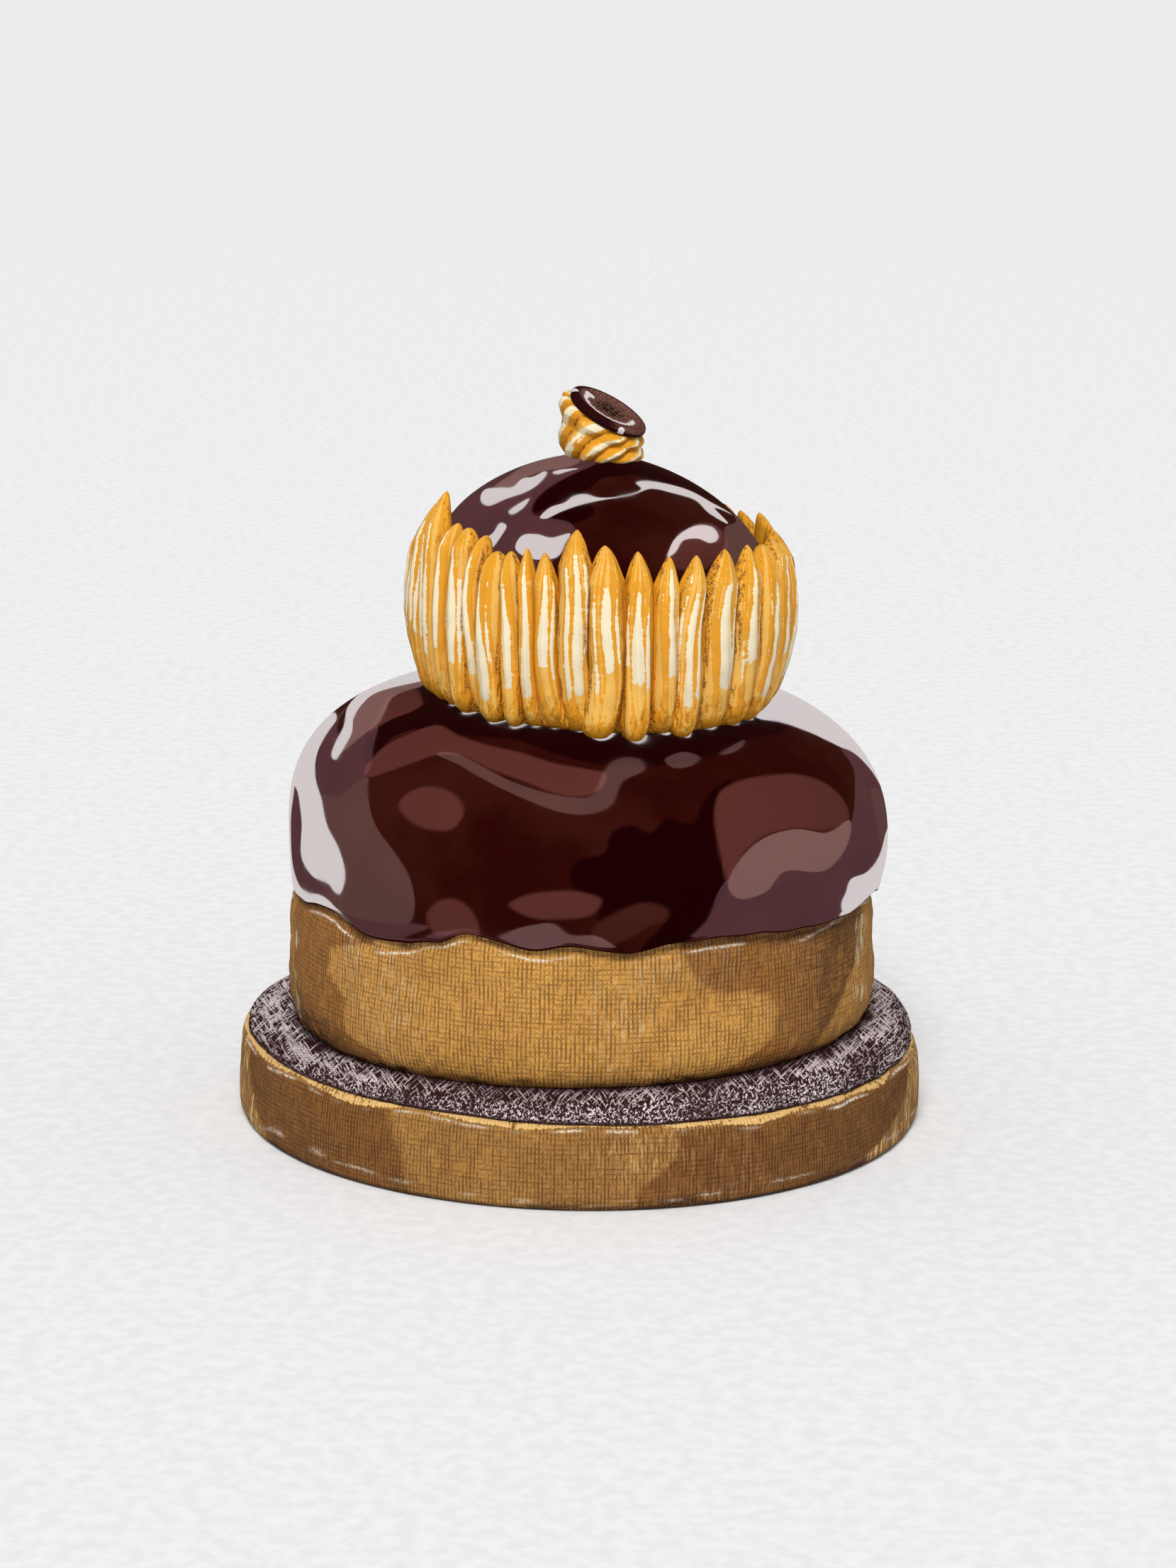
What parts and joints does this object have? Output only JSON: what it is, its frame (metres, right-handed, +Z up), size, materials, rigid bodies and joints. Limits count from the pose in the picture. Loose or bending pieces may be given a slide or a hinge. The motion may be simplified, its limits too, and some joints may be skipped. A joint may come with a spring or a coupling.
{
  "type": "religieuse choux pastry",
  "caption": "Two-tier glazed choux pastry on a round biscuit base, with a head of piped cream strokes, a ridged cream tuft and a tilted chocolate button.",
  "frame": {"origin": "middle of the flat underside of the biscuit base", "axes": "+Z up along the pastry's axis, -Y towards the front that the picture shows, +X to its right"},
  "size_m": [0.0824, 0.0824, 0.0871],
  "materials": {
    "biscuit": "baked golden-brown biscuit, dry and finely textured",
    "spread_chocolate": "set dark chocolate, matt, with fine crossed spreading marks and a pale bloom",
    "choux_pastry": "baked golden choux crust, dry, with a fine mesh imprint",
    "chocolate_glaze": "glossy dark chocolate fondant",
    "piped_cream": "soft yellow piped cream with fine ridges",
    "button_chocolate": "glossy dark chocolate with a brown ringed face"
  },
  "bodies": {
    "root": {"biscuit_base": "biscuit", "chocolate_spread": "spread_chocolate", "large_choux": "choux_pastry", "large_glaze": "chocolate_glaze", "cream_head": "piped_cream", "small_glaze": "chocolate_glaze", "cream_tuft": "piped_cream", "chocolate_button": "button_chocolate"}
  },
  "joints": []
}
